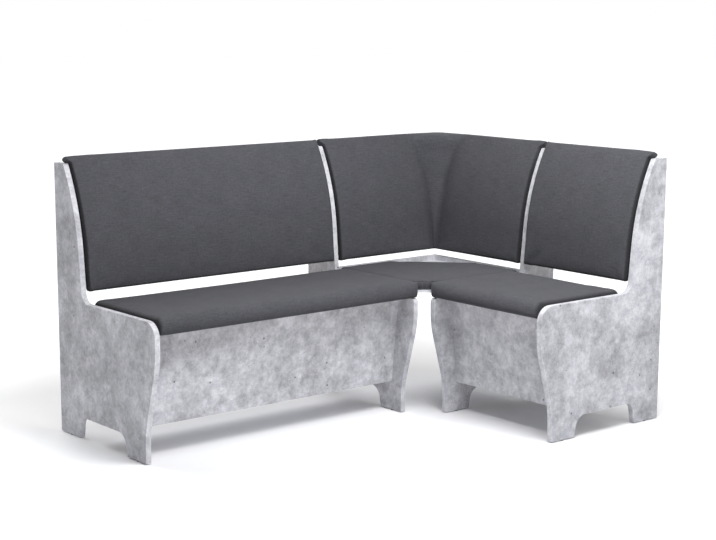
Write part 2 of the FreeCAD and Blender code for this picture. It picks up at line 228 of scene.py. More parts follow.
board_face = concrete("concrete_look_board", 0.45, 0.085)
edge_face = concrete("concrete_look_edge", 0.51, 0.05)
print("mixed", board_face.name, "and", edge_face.name)

# %% [markdown]
# ## Wood, steel and plastic that mostly stay out of sight
# The bent boards behind the pads are birch plywood, the seats lie on white
# coated chipboard, the cleats are planed softwood, the hinges and brackets are
# zinc plated, and the glides under the feet are black plastic. They show mostly
# from behind or when a seat is raised. Layers of marks would be lost there, so
# each of these recipes is one noise that drives the colour and the roughness.

# %% Hidden finishes
def wood(name, light, dark, grain_scale):
    finish, tree, shader = new_finish(name)
    rings = noise(tree, stretched(tree, place_on(tree), (1.0, 1.0, grain_scale)), 30, 5, 0.6, 0.6)
    drive(tree, shader, "Base Color", rings, ((0.35, dark), (0.65, light)))
    drive(tree, shader, "Roughness", rings, ((0.3, (0.5,)), (0.7, (0.65,))))
    bump(tree, shader, rings, 0.1, 0.0005)
    return finish


def chipboard(name):
    finish, tree, shader = new_finish(name)
    speckle = noise(tree, place_on(tree), 330, 3, 0.7)
    drive(tree, shader, "Base Color", speckle, ((0.3, cool(0.56)), (0.7, cool(0.66))))
    drive(tree, shader, "Roughness", speckle, ((0.3, (0.45,)), (0.7, (0.6,))))
    bump(tree, shader, speckle, 0.08, 0.0004)
    return finish


def zinc(name, value):
    finish, tree, shader = new_finish(name)
    cloud = noise(tree, place_on(tree), 90, 4, 0.6)
    drive(tree, shader, "Base Color", cloud, ((0.3, (value * 0.85,)), (0.7, (value,))))
    drive(tree, shader, "Roughness", cloud, ((0.3, (0.28,)), (0.7, (0.42,))))
    shader.inputs["Metallic"].default_value = 1.0
    return finish


def black_plastic(name):
    finish, tree, shader = new_finish(name)
    fine = noise(tree, place_on(tree), 500, 2, 0.6)
    drive(tree, shader, "Base Color", fine, ((0.3, (0.018,)), (0.7, (0.035,))))
    drive(tree, shader, "Roughness", fine, ((0.3, (0.5,)), (0.7, (0.65,))))
    return finish


finishes = {
    "laminate": board_face,
    "edge_band": edge_face,
    "plywood": wood("bent_plywood", (0.62, 0.47, 0.31), (0.48, 0.34, 0.21), 0.12),
    "seat_board": chipboard("pale_chipboard"),
    "batten": wood("planed_softwood", (0.66, 0.50, 0.31), (0.50, 0.34, 0.19), 4.0),
    "hinge_steel": zinc("zinc_hinge", 0.62),
    "bracket_steel": zinc("zinc_bracket", 0.56),
    "glide": black_plastic("glide_plastic"),
}
print("finishes:", ", ".join(sorted(finishes)))

# %% [markdown]
# ## The cloth
# The pads are covered in a charcoal furniture cloth of a plain weave. Its
# threads lie about two millimetres apart, and thicker and thinner yarns give
# short streaks along and across, which still show from some metres away. The
# threads could be modelled, but at this distance a mesh of them would show
# nothing more, so the weave is a pair of crossed waves. The cloth follows each
# pad, so its pattern reads the pad's own map, in metres along and up the cloth,
# and not the room's coordinates. Shade is painted into the cloth as well. Each
# pad's mesh carries an attribute of painted shade, which darkens the cloth in
# the gaps at its ends, along its lower edge, beside the seams and under the
# front rolls, where shade falls.

# %% Cloth
def charcoal_cloth(name):
    finish, tree, shader = new_finish(name)
    where = add(tree, "ShaderNodeUVMap", uv_map="cloth").outputs["UV"]
    weft = noise(tree, stretched(tree, where, (25.0, 420.0, 1.0)), 1.0, 3, 0.6)
    warp = noise(tree, stretched(tree, where, (420.0, 25.0, 1.0)), 1.0, 3, 0.6)
    yarn_tones = ((0.3, (0.3,)), (0.7, (0.7,)))
    yarns = mixed(tree, "OVERLAY", 0.5, ramp(tree, weft, yarn_tones), ramp(tree, warp, yarn_tones))
    threads = {"Vector": where, "Scale": 160.0, "Distortion": 0.6, "Detail": 1.0, "Detail Scale": 3.0}
    across, along = [add(tree, "ShaderNodeTexWave", threads, wave_type="BANDS",
                         bands_direction=way).outputs["Fac"] for way in ("X", "Y")]
    weave = add(tree, "ShaderNodeMath", {0: across, 1: along}, operation="MULTIPLY").outputs[0]
    patches = noise(tree, where, 14, 5, 0.65)
    base = ramp(tree, patches, ((0.3, (0.060, 0.061, 0.069)), (0.7, (0.070, 0.071, 0.080))))
    slubs = ramp(tree, noise(tree, where, 130, 3, 0.65), ((0.35, (0.36,)), (0.65, (0.64,))))
    slubbed = mixed(tree, "OVERLAY", 0.4, base, slubs)
    coloured = mixed(tree, "OVERLAY", 0.42, slubbed, yarns)
    gaps = ramp(tree, weave, ((0.0, (0.55,)), (0.6, (1.0,))))
    threaded = mixed(tree, "MULTIPLY", 0.35, coloured, gaps)
    # Painted shade: the pad's attribute darkens the cloth to about a third where shade falls.
    painted_shade = add(tree, "ShaderNodeAttribute", attribute_name="painted_shade").outputs["Fac"]
    shaded = mixed(tree, "MULTIPLY", painted_shade, threaded, (0.35, 0.35, 0.35, 1))
    tree.links.new(shaded, shader.inputs["Base Color"])
    shader.inputs["Roughness"].default_value = 0.9
    shader.inputs["Specular IOR Level"].default_value = 0.2
    shader.inputs["Sheen Weight"].default_value = 0.08
    shader.inputs["Sheen Roughness"].default_value = 0.5
    bump(tree, shader, weave, 0.35, 0.0005)
    return finish


cloth = charcoal_cloth("charcoal_cloth")
finishes["upholstery"] = cloth
print("wove", cloth.name)

# %% [markdown]
# ## A finish for every board
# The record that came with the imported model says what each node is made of.
# The finishes could be given out by hand, node by node, but a list like that
# soon leaves one out. Read from the record, a node without a finish stops the
# script at once.

# %% Dress the CAD nodes
slot_of = {row["node"]: row["material_slot"] for row in frame["record"]["subparts"]}
for name, node in nodes.items():
    node.data.materials.clear()
    node.data.materials.append(finishes[slot_of[name]])
print("dressed", len(nodes), "nodes")

# %% [markdown]
# ## From a bench's own measure to the room
# Both benches are the same but for their length, and one is the mirror image
# of the other. The second could be made with a mirror modifier, but its pads
# are shorter. So every pad is drawn in its bench's own measure: a along the
# bench from its outer end, d out from the wall, and z up. One small function
# turns that into a place in the room, and the lesson needs each pad only once.

# %% Measures of the two benches
low, high = cad_box


def room(bench, a, d, z):
    if bench == "long":
        return (low.x + a, high.y - d, z)
    return (high.x - d, low.y + a, z)


def span(node, bench):
    """Where a node starts and ends along its bench."""
    lo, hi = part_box(node)
    return (lo.x - low.x, hi.x - low.x) if bench == "long" else (lo.y - low.y, hi.y - low.y)


for bench in ("long", "short"):
    print(bench, "seat pad spans", [round(x, 3) for x in span("seat_pad_" + bench, bench)])

# %% [markdown]
# ## A net of cells
# A foam pad is a long bar with a rounded section. A block with a bevel would
# give the form, but its large faces can't bend. So a pad is laid out as a net.
# The rows run round the section and the columns run along the bench, close
# together near the ends, where the cloth is drawn in, and about a centimetre
# apart elsewhere. Small cells let the cloth bend and swell. Every corner of
# the net also remembers its place on the cloth, for the weave.

# %% Spots and cells
cell = 0.012
small_roll = 0.002


def quarter(centre, radius, start, steps):
    """Spots on a quarter of a circle, turning right from the angle start in degrees."""
    spots = []
    for k in range(steps + 1):
        angle = math.radians(start - 90 * k / steps)
        spots.append((centre[0] + radius * math.cos(angle), centre[1] + radius * math.sin(angle)))
    return spots


def between(a, b, cell):
    """Values strictly between a and b, about one cell apart."""
    count = max(2, round(abs(b - a) / cell))
    return [a + (b - a) * k / count for k in range(1, count)]


def near_end(roll):
    """How far in the columns at an end lie. A small roll gets few, as the cloth can't solve thin cells."""
    shares = (0.0, 0.1, 0.3, 0.6, 1.0) if roll > small_roll else (0.0, 0.5, 1.0)
    return [share * roll for share in shares]


def columns_of(start, end, start_roll, end_roll):
    first = [start + x for x in near_end(start_roll)]
    last = [end - x for x in reversed(near_end(end_roll))]
    return first + between(start + start_roll, end - end_roll, cell) + last


def fading(distance, reach):
    """One at a distance of nothing, and nothing beyond reach."""
    return min(max(1 - distance / reach, 0), 1)


def draw_in(distance, roll):
    """How far the cloth comes back at this distance from a rounded end."""
    gone = min(max(roll - distance, 0), roll)
    return roll - math.sqrt(max(roll ** 2 - gone ** 2, 0))


# %% Lay a net
def climb(rows):
    """The place of each row up the cloth, measured along the middle column."""
    up = [0.0]
    for row, other in zip(rows, rows[1:] + rows[:1]):
        middle = len(row) // 2
        up.append(up[-1] + (Vector(other[middle]) - Vector(row[middle])).length)
    return up


def lay_net(name, rows, runs, shade_rows):
    """A closed pad from rows of corners round its section. runs gives each corner's
    place along the cloth, and the last argument gives how much painted shade darkens it."""
    shape = bmesh.new()
    sheet = shape.loops.layers.uv.new("cloth")
    # The painted shade of each corner, which the cloth finish reads.
    depth = shape.verts.layers.float.new("painted_shade")
    net = [[shape.verts.new(spot) for spot in row] for row in rows]
    for row, shading in zip(net, shade_rows):
        for corner, value in zip(row, shading):
            corner[depth] = value
    up = climb(rows)
    for i, row in enumerate(net):
        k = (i + 1) % len(net)
        other = net[k]
        for j in range(len(row) - 1):
            face = shape.faces.new((row[j], row[j + 1], other[j + 1], other[j]))
            places = ((runs[i][j], up[i]), (runs[i][j + 1], up[i]),
                      (runs[k][j + 1], up[i + 1]), (runs[k][j], up[i + 1]))
            for loop, place in zip(face.loops, places):
                loop[sheet].uv = place
    for side in (0, -1):
        cap = shape.faces.new([row[side] for row in net])
        for loop in cap.loops:
            loop[sheet].uv = (loop.vert.co.y + loop.vert.co.x, loop.vert.co.z)
    bmesh.ops.recalc_face_normals(shape, faces=shape.faces)
    bmesh.ops.triangulate(shape, faces=[f for f in shape.faces if len(f.verts) > 4])
    data = bpy.data.meshes.new(name)
    shape.to_mesh(data)
    shape.free()
    pad = bpy.data.objects.new(name, data)
    bpy.context.scene.collection.objects.link(pad)
    return pad


# %% [markdown]
# ## Stuffing
# A stuffed pad is a little fuller in the middle than at its seams. That could
# be pushed out by hand in sculpt mode, but a cloth simulation with air
# pressure inside finds the same form by itself, and finds it again each time.
# The back of the pad is held to its board, the cloth in front swells, and
# nothing may move further than a few millimetres, because this foam is firm
# and its cloth is tight.

# %% Stuff and finish a pad
stretch_stiffness, bend_stiffness, last_step = 20, 2, 20
least_move = 1e-7


def choose_only(pad):
    bpy.ops.object.select_all(action="DESELECT")
    pad.select_set(True)
    bpy.context.view_layer.objects.active = pad


def simulate(pad, held_corners, pressure):
    """Where the corners of a pad lie after the cloth simulation, and the pad is left as it was."""
    held = pad.vertex_groups.new(name="held")
    held.add(held_corners, 1.0, "REPLACE")
    swell = pad.modifiers.new("stuffing", "CLOTH")
    feel = swell.settings
    feel.use_pressure = True
    feel.uniform_pressure_force = pressure
    feel.vertex_group_mass = "held"
    feel.tension_stiffness = feel.compression_stiffness = stretch_stiffness
    feel.bending_stiffness = bend_stiffness
    feel.effector_weights.gravity = 0
    swell.point_cache.frame_start, swell.point_cache.frame_end = 1, last_step
    for step in range(1, last_step + 1):
        bpy.context.scene.frame_set(step)
    seen = pad.evaluated_get(bpy.context.evaluated_depsgraph_get())
    after = [v.co.copy() for v in seen.data.vertices]
    pad.modifiers.remove(swell)
    pad.vertex_groups.remove(held)
    return after


def stuff(pad, held_corners, cap, pressure=4.0):
    """Swells a pad by cloth pressure. Held corners stay, and no corner moves further than cap."""
    choose_only(pad)
    before = [v.co.copy() for v in pad.data.vertices]
    after = simulate(pad, held_corners, pressure)
    furthest = 0
    for vertex, old, new in zip(pad.data.vertices, before, after):
        move = new - old
        if move.length > least_move:
            vertex.co = old + move * (cap * math.tanh(move.length / cap) / move.length)
            furthest = max(furthest, (vertex.co - old).length)
    bpy.context.scene.frame_set(1)
    print(pad.name, "swelled by up to", round(furthest * 1000, 1), "mm")


def finish_pad(pad, body, replaced):
    choose_only(pad)
    pad.data.materials.append(cloth)
    smooth = pad.modifiers.new("smooth", "SUBSURF")
    smooth.levels = smooth.render_levels = 1
    bpy.ops.object.modifier_apply(modifier="smooth")
    bpy.ops.object.shade_smooth()
    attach(pad, body)
    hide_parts(replaced)
    print(pad.name, len(pad.data.polygons), "faces")


# %% [markdown]
# ## The section of the back pads
# The uprights lean back in one long curve with a straight stretch below it.
# A bent plywood board follows them, and the pad lies on that board. The
# section could be traced as a list of points, but then a change of the curve
# would mean a new list, so it is worked out from two angles and a few heights.
# A spot on the section is given by s, the way up the upright from the lower
# end of the straight stretch, and off, how far it lies in front of the upright.
# Each row also has a share, which is 1 on the pad's face and 0 behind it.

# %% The uprights' curve
lean_low, lean_top = math.radians(5), math.radians(27.5)
straight_run = 0.118
curve_top = Vector((0.0591, 0.8757))
curve_end_z = 0.5986
curve_radius = (curve_top.y - curve_end_z) / (math.sin(lean_top) - math.sin(lean_low))
curve_run = curve_radius * (lean_top - lean_low)
curve_centre = curve_top - curve_radius * Vector((math.cos(lean_top), math.sin(lean_top)))


def on_upright(s, off):
    """Depth and height of a spot on the section."""
    lean = lean_low + min(max((s - straight_run) / curve_radius, 0), lean_top - lean_low)
    out = Vector((math.cos(lean), math.sin(lean)))
    along = Vector((-out.y, out.x))
    extra = min(s - straight_run, 0) + max(s - straight_run - curve_run, 0)
    return curve_centre + out * (curve_radius + off) + along * extra


print("curve of", round(curve_radius, 3), "m")

# %% Rows round a back pad
pad_lift, pad_edge = 0.009, 0.011
top_reach, top_edge = 0.0133, 0.017
pad_low, pad_high = pad_lift - pad_edge, straight_run + curve_run + top_reach + top_edge
pad_front, pad_rear = 0.0135, -0.011
front_roll, rear_roll = 0.009, 0.007
ear_start, clear_of_ear, ear_step = 0.0063, 0.003, 0.0008
ear_low = straight_run + curve_run + ear_start


def roll_rows(s, off, radius, angle, steps, first_share, last_share):
    """Rows round one rounded edge of the section."""
    spots = quarter((s, off), radius, angle, steps)
    return [(*spot, first_share + (last_share - first_share) * k / steps) for k, spot in enumerate(spots)]


heights = between(pad_low + front_roll, pad_high - front_roll, cell)
heights = [s for s in heights if abs(s - ear_low) > clear_of_ear]
heights = sorted(heights + [ear_low - ear_step, ear_low + ear_step])
back_section = [(s, pad_front, 1) for s in heights]
back_section += roll_rows(pad_high - front_roll, pad_front - front_roll, front_roll, 90, 5, 1, 0)
back_section += roll_rows(pad_high - rear_roll, pad_rear + rear_roll, rear_roll, 0, 3, 0, 0)
back_section += [(s, pad_rear, 0) for s in reversed(heights)]
back_section += roll_rows(pad_low + rear_roll, pad_rear + rear_roll, rear_roll, -90, 3, 0, 0)
back_section += roll_rows(pad_low + front_roll, pad_front - front_roll, front_roll, 180, 5, 0, 1)
print(len(back_section), "rows round a back pad")

# %% [markdown]
# ## The two straight back pads
# Each lies between its side panels. At its outer end the top of the pad runs
# out over the side panel as an ear, which hides the panel's sawn top. An ear
# could be a small pad of its own, but it would show a joint that isn't there,
# so it is the part of the net above a certain height, stretched outwards. It
# is held still in the simulation, because its cells are too fine to swell.
# Towards the outer end, the pad's top edge also sinks by a few millimetres.

# %% Ends and ears of the back pads
side_roll, ear_roll, ear_reach = 0.005, 0.004, 0.016
outer_corner, inner_corner = 0.014, 0.006
thinner_below, thinner_above = 0.34, 0.05


def thinned(s, off, distance, roll):
    """A spot of the section after the cloth is drawn in near an end."""
    if off > pad_rear + rear_roll:
        off = max(off - draw_in(distance, roll), pad_rear + rear_roll)
    return on_upright(s, off)


def corner_cut(s, radius):
    """How far the rounded lower corner of a pad comes in at s."""
    gone = min(max(radius - (s - pad_low), 0), radius)
    return radius - math.sqrt(max(radius ** 2 - gone ** 2, 0))


def on_ear(s, share, drop):
    """An ear grows thinner towards its tip, mostly from below. share is 1 at the tip, and
    drop is how far the pad's top edge lies lower there."""
    thick = pad_high - ear_low
    lower = ear_low + thinner_below * share * thick
    upper = pad_high - drop - thinner_above * share * thick
    return lower + (s - ear_low) * (upper - lower) / thick


# %% Columns of the back pads
end_columns, ear_columns = 5, 8
past_roll = (0.001, 0.002)
rest_slack = 0.004


def back_columns(s, start, end):
    """The columns of one row, drawn in at the lower corners and run out to the tip of the ear."""
    low_start, low_end = start + corner_cut(s, outer_corner), end - corner_cut(s, inner_corner)
    shrink = (low_end - low_start) / (end - start)
    columns = [low_start + (a - start) * shrink for a in columns_of(start, end, side_roll, side_roll)]
    first, rest = columns[:end_columns], columns[end_columns:]
    if s > ear_low:
        tip = start - ear_reach
        first = [tip + (a - start) * ear_roll / side_roll for a in first]
        return first + [first[-1] + (start - first[-1]) * k / 2 for k in (1, 2)] + rest
    return first + [first[-1] + step for step in past_roll] + rest


def resting_corners(pad, count, in_ear):
    """Corners that lie on the board or in an ear. count is the number of columns in a row."""
    resting = []
    for number in range(len(pad.data.vertices)):
        s, off, _ = back_section[number // count]
        if off < pad_rear + rest_slack or (s > ear_low and in_ear(number % count)):
            resting.append(number)
    return resting


# %% Lay and stuff the two back pads
board, beside_board = 0.018, 0.0045
# Painted shade on the cloth: darker within a few millimetres of each end, where the gap beside the panel
# lies in shade, and along the lower edge.
end_shade_reach, lower_shade_reach, lower_shade_strength = 0.0055, 0.012, 0.9
end_drop, drop_reach = 0.004, 0.06
for bench in ("long", "short"):
    start, end = board + beside_board, span("inner_side_" + bench, bench)[0] - beside_board
    rows, runs, shade_rows = [], [], []
    for s, off, _ in back_section:
        is_ear = s > ear_low
        columns = back_columns(s, start, end)
        # Painted shade along the lower edge and near the ends, but not on the ears.
        lower_shade = lower_shade_strength * fading(s - pad_low, lower_shade_reach)
        row, shading = [], []
        for a in columns:
            distance = min(a - columns[0], columns[-1] - a)
            drop = end_drop * fading(a - start, drop_reach)
            place = on_ear(s, max(start - a, 0) / ear_reach, drop) if is_ear else s
            edge_roll = ear_roll if is_ear and a < start + ear_roll else side_roll
            shading.append(max(0 if is_ear else fading(distance, end_shade_reach), lower_shade))
            row.append(room(bench, a, *thinned(place, off, distance, edge_roll)))
        rows.append(row)
        runs.append(columns)
        shade_rows.append(shading)
    pad = lay_net("back_cushion_" + bench, rows, runs, shade_rows)
    resting = resting_corners(pad, len(columns), lambda column: column < ear_columns)
    stuff(pad, resting, cap=0.003)
    finish_pad(pad, "bench_base", "back_pad_" + bench)

# %% [markdown]
# ## The corner's back pad
# In the corner, two curved pads meet. A sitter's shoulders would meet a deep
# groove there, so the upholsterer sews in a wedge that is wide at the top and
# runs out to nothing near the seat. Two pads and a wedge could be made one by
# one, but their edges would have to meet exactly. Here the columns of one net
# run along one arm, over the wedge and along the other arm. The two seams of
# the wedge are pulled in a little, and near the top they fade into one round
# corner.

# %% Measures of the corner's back pad
arm_ends = [high.x - span("inner_side_long", "long")[1] - low.x - beside_board,
            high.y - span("inner_side_short", "short")[1] - low.y - beside_board]
past_board, arm_cells, first_cell_size = 0.001, 36, 0.002
wedge_widths = ((0.485, 0.004), (0.745, 0.070), (0.840, 0.133), (0.885, 0.19))
least_width = wedge_widths[0][1]
wedge_cells, wedge_puff, full_puff_width = 14, 0.004, 0.05
# The seams are pulled in as real form, and the cloth beside them also gets painted shade, which fades near
# the top where the seams merge.
seam_pull, seam_reach, seam_shade, seam_shade_reach = 0.008, 0.045, 0.4, 0.022
crest_share, corner_dip, dip_reach = 0.12, 0.0025, 0.1
merge_from, merge_over, merged_shade_fade, smooth_reach = 0.80, 0.09, 0.8, 6


def wedge_width(z):
    """The wedge's width at a height, from the pairs of a height and a width above."""
    for (z0, w0), (z1, w1) in zip(wedge_widths, wedge_widths[1:]):
        if z <= z1:
            return w0 + (w1 - w0) * max(0, z - z0) / (z1 - z0)
    return wedge_widths[-1][1]


print("arms of", [round(x, 3) for x in arm_ends], "m")


# %% Arms and wedge of the corner's back pad
def arm_row(s, off, share, end, width):
    """Corners of one arm from its end to the seam, as depth, place along the wall and height."""
    is_ear = s > ear_low
    tip = end + board + past_board if is_ear else end - corner_cut(s, inner_corner)
    edge_roll = ear_roll if is_ear else side_roll
    turn_at = on_upright(s, off)[0] + width / math.sqrt(2)
    places = [tip - x for x in near_end(edge_roll)]
    first_cell = end - first_cell_size if is_ear else places[-1] - first_cell_size
    places += [(places[-1] + first_cell) / 2, first_cell]
    places += [first_cell + (turn_at - first_cell) * k / arm_cells for k in range(1, arm_cells + 1)]
    # Painted shade near the arm's end, along the lower edge and beside the seam.
    lower_shade = lower_shade_strength * fading(s - pad_low, lower_shade_reach)
    spots, shading = [], []
    for q in places:
        lifted = on_ear(s, (q - end) / (board + past_board), 0) if is_ear and q > end else s
        d, z = thinned(lifted, off, tip - q, edge_roll)
        nearness = fading(q - turn_at, seam_reach)
        pulled = seam_pull * share * nearness ** 2 * (3 - 2 * nearness)
        spots.append((d - pulled * math.cos(lean_low), q, z))
        shading.append(max(0 if is_ear else fading(tip - q, end_shade_reach), lower_shade,
                        seam_shade * share * fading(q - turn_at, seam_shade_reach)))
    return spots, shading


def wedge_row(s, share, width, depth, z):
    """Corners across the wedge, from seam to seam, as the distances from both walls and the height."""
    reach = width / math.sqrt(2)
    dip = corner_dip * fading(pad_high - s, dip_reach)
    # Painted shade along the lower edge and beside both seams.
    lower_shade = lower_shade_strength * fading(s - pad_low, lower_shade_reach)
    spots, shading = [], []
    for k in range(1, wedge_cells):
        t = k / wedge_cells
        swell = math.sin(math.pi * t) * min(1, width / full_puff_width)
        puff = wedge_puff * share * swell / math.sqrt(2)
        spots.append((depth + reach * (1 - t) + puff, depth + reach * t + puff, z - dip * swell))
        from_seam = min(t, 1 - t) * width
        shading.append(max(lower_shade, seam_shade * share * fading(from_seam, seam_shade_reach / 2)))
    return spots, shading


def smooth_part(row, first, last, times):
    """Draws the corners from first to last towards their neighbours, so that a seam turns round."""
    for _ in range(times):
        row[first:last] = [(row[k - 1] + row[k] * 2 + row[k + 1]) / 4 for k in range(first, last)]


# %% Lay and stuff the corner's back pad
rows, runs, shade_rows = [], [], []
for s, off, share in back_section:
    z_front = on_upright(s, pad_front)[1]
    on_face = min(1, share / crest_share)
    merged = min(max((z_front - merge_from) / merge_over, 0), 1) * on_face
    width = least_width + (wedge_width(z_front) - least_width) * on_face
    first, first_shading = arm_row(s, off, share, arm_ends[0], width)
    wedge, wedge_shading = wedge_row(s, share, width, *on_upright(s, off))
    second, second_shading = arm_row(s, off, share, arm_ends[1], width)
    row = [Vector((q, d, z)) for d, q, z in first] + [Vector(spot) for spot in wedge + second[::-1]]
    first_seam, second_seam = len(first), len(first) + len(wedge)
    smooth_part(row, first_seam - smooth_reach, second_seam + smooth_reach, round(2 * share + 10 * merged))
    run = [0.0]
    for a, b in zip(row, row[1:]):
        run.append(run[-1] + (b - a).length)
    middle = (run[first_seam - 1] + run[second_seam]) / 2
    rows.append([(high.x - p, high.y - q, z) for p, q, z in row])
    runs.append([x - middle for x in run])
    # The painted shade of the seams fades where they merge into one round corner.
    shading = first_shading + wedge_shading + second_shading[::-1]
    shade_rows.append([value * (1 - merged_shade_fade * merged) for value in shading])
pad = lay_net("corner_back_cushion", rows, runs, shade_rows)
count = len(row)
resting = resting_corners(pad, count, lambda column: min(column, count - 1 - column) < ear_columns)
stuff(pad, resting, cap=0.002)
finish_pad(pad, "bench_base", "corner_back_pad")

# %% [markdown]
# ## The seat pads
# A seat pad is a sheet of foam on its board with the cloth pulled over it. At
# the front, the foam rolls over the edge of the board in a wide curve and
# hides it. At the back and at the ends only the cloth is folded down over the
# board's edge, so the pad's section there ends in a thin flap. Towards the
# corner the front curve grows tighter, so the pad ends squarely at the nose.
# One section pulled along a path could not change on its way, so each column
# of the net has a section of its own.

# %% Section of the seat pads
seat_front, seat_rear = 0.5735, 0.1885
above_board = 0.0002
seat_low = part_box("seat_board_long")[1].z + above_board
seat_top = 0.4585
flap, flap_low = 0.0032, 0.4233
lip_low, lip_in = 0.405, 0.5560
front_round, lip_round, rear_round = 0.034, 0.016, 0.009
flat_cells, under_cell = 29, 0.03


def seat_section(radius):
    """Rows round the seat pad, for one radius of its front roll, and the number of the first row below."""
    flat_start, flat_end = seat_rear + rear_round, seat_front - radius
    flat = [(flat_start + (flat_end - flat_start) * k / flat_cells, seat_top) for k in range(1, flat_cells)]
    spots = [(seat_rear, z) for z in (flap_low, seat_low)]
    spots += quarter((flat_start, seat_top - rear_round), rear_round, 180, 4)
    spots += flat
    spots += quarter((flat_end, seat_top - radius), radius, 90, 8)
    spots += quarter((seat_front - lip_round, lip_low + lip_round), lip_round, 0, 4)
    first_below = len(spots)
    spots += [(lip_in, lip_low), (lip_in, (lip_low + seat_low) / 2), (lip_in, seat_low)]
    spots += [(d, seat_low) for d in between(lip_in, seat_rear + flap, under_cell)]
    return spots + [(seat_rear + flap, z) for z in (seat_low, flap_low)], first_below


print("seat pads lie on their boards at", round(seat_low, 4), "m")

# %% Ends of the seat pads
outer_roll, inner_roll = 0.014, 0.0015
end_round, end_round_reach = 0.014, 0.07
front_band, front_give = 0.012, 0.4
flap_rows, flap_slack, flap_height, row_gap = 2, 0.0006, 0.001, 0.0004


def seat_spot(number, first_below, d, z, from_start, from_end):
    """A spot of the section near an end: in the flap below, and drawn in by the rolls above. The
    flap's rows stay a hair apart, because the simulation can't solve edges without a length."""
    if number >= first_below:
        if min(from_start, from_end) < flap - flap_slack and z > flap_low:
            return d, flap_low + (row_gap if z > flap_low + flap_height else 0)
        return d, z
    if number < flap_rows:
        return d, z
    gone = max(draw_in(from_start, outer_roll), draw_in(from_end, inner_roll))
    height_share = min(max((z - seat_low) / (seat_top - seat_low), 0), 1)
    give = front_give if d > seat_front - front_band else 0
    return d - gone * give, z - gone * height_share


# %% Lay and stuff the two seat pads
beside_outer_flap, beside_inner_flap = 0.0002, 0.0001
# Painted shade: the cloth is darker near the outer end, in the gap beside the side panel, and on the lower
# part of the front roll, which turns away from the light.
outer_end_shade, outer_end_shade_reach = 0.8, 0.012
lip_shade, lip_shade_reach = 0.65, 0.034
held_columns = 3
for bench in ("long", "short"):
    start, end = span("seat_pad_" + bench, bench)
    flap_columns = [start + flap - beside_outer_flap, end - flap + beside_inner_flap]
    columns = sorted(columns_of(start, end, outer_roll, inner_roll) + flap_columns)
    sections = []
    for a in columns:
        tighter = (front_round - end_round) * fading(end - a, end_round_reach) ** 2
        section, first_below = seat_section(front_round - tighter)
        sections.append(section)
    rows, shade_rows = [], []
    for number, spots in enumerate(zip(*sections)):
        row, shading = [], []
        for a, (d, z) in zip(columns, spots):
            row.append(room(bench, a, *seat_spot(number, first_below, d, z, a - start, end - a)))
            # Painted shade near the outer end and low on the front roll.
            shading.append(max(outer_end_shade * fading(a - start, outer_end_shade_reach),
                            lip_shade * fading(z - lip_low, lip_shade_reach)))
        rows.append(row)
        shade_rows.append(shading)
    pad = lay_net("seat_cushion_" + bench, rows, [columns] * len(rows), shade_rows)
    count = len(columns)
    resting = [number for number in range(len(pad.data.vertices))
               if number // count >= first_below or number % count >= count - held_columns]
    stuff(pad, resting, cap=0.0028, pressure=0.8)
    finish_pad(pad, "seat_lid_" + bench, "seat_pad_" + bench)

# %% [markdown]
# ## The corner's seat pad
# The corner seat is a square board with its point towards the room cut off.
# Its pad is cut the same way, and at the back a piece of its corner is left
# out, because nobody can sit there. This outline has slanted sides, which a
# net of straight rows would meet in steps, so the pad starts as a block, and
# two cuts make the outline. Only the blunt point has a lip, over the upper part
# of the board's edge, and the pulled cloth gathers there in shallow wrinkles.
# The upper edges are rounded, but less where a straight seat's pad lies next
# to this one.

# %% Cutting tools
def edit(pad):
    choose_only(pad)
    bpy.ops.object.mode_set(mode="EDIT")


def near(value, target, slack=0.0004):
    return abs(value - target) < slack


def choose(pad, kind, test):
    """Selects the edges or faces whose corners all pass the test. The pad is in edit mode."""
    bpy.ops.mesh.select_mode(type=kind)
    bpy.ops.mesh.select_all(action="DESELECT")
    shape = bmesh.from_edit_mesh(pad.data)
    for item in (shape.edges if kind == "EDGE" else shape.faces):
        if all(test(v.co) for v in item.verts):
            item.select_set(True)
    bmesh.update_edit_mesh(pad.data)


def cut(at, way, **sides):
    bpy.ops.mesh.select_all(action="SELECT")
    bpy.ops.mesh.bisect(plane_co=at, plane_no=way, **sides)


# %% Cut the corner's seat pad from a block
nose, rear_cut = 0.549, 0.2255
board_in, board_slack, lip_drop = 0.0052, 0.0003, 0.008
corner_lo, corner_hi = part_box("corner_seat_pad")
middle = ((corner_lo.x + corner_hi.x) / 2, (corner_lo.y + corner_hi.y) / 2, (seat_low + seat_top) / 2)
sides = (corner_hi.x - corner_lo.x, corner_hi.y - corner_lo.y, seat_top - seat_low)
nose_ends = (Vector((high.x - nose, corner_lo.y)), Vector((corner_lo.x, high.y - nose)))
nose_way = Vector((nose_ends[0].y - nose_ends[1].y, nose_ends[1].x - nose_ends[0].x)).normalized()
rear_at = (corner_hi.x - rear_cut / 2, corner_hi.y - rear_cut / 2, 0)


def before_nose(co):
    """How far a spot lies in front of the edge of the corner's seat board."""
    return (Vector(co.xy) - nose_ends[0]).dot(nose_way) + board_in


bpy.ops.object.select_all(action="DESELECT")
bpy.ops.mesh.primitive_cube_add(size=1, location=middle, scale=sides)
pad = bpy.context.object
pad.name = pad.data.name = "corner_seat_cushion"
bpy.ops.object.transform_apply(location=True, rotation=True, scale=True)
edit(pad)
cut((*nose_ends[0], 0), (*nose_way, 0), clear_outer=True, use_fill=True)
cut(rear_at, (1, 1, 0), clear_outer=True, use_fill=True)
cut((*(nose_ends[0] - nose_way * board_in), 0), (*nose_way, 0))
choose(pad, "FACE", lambda co: near(co.z, seat_low) and before_nose(co) > -board_slack)
bpy.ops.mesh.extrude_region_move(TRANSFORM_OT_translate={"value": (0, 0, -lip_drop)})
print("cut", pad.name, "with", len(bmesh.from_edit_mesh(pad.data).faces), "faces")

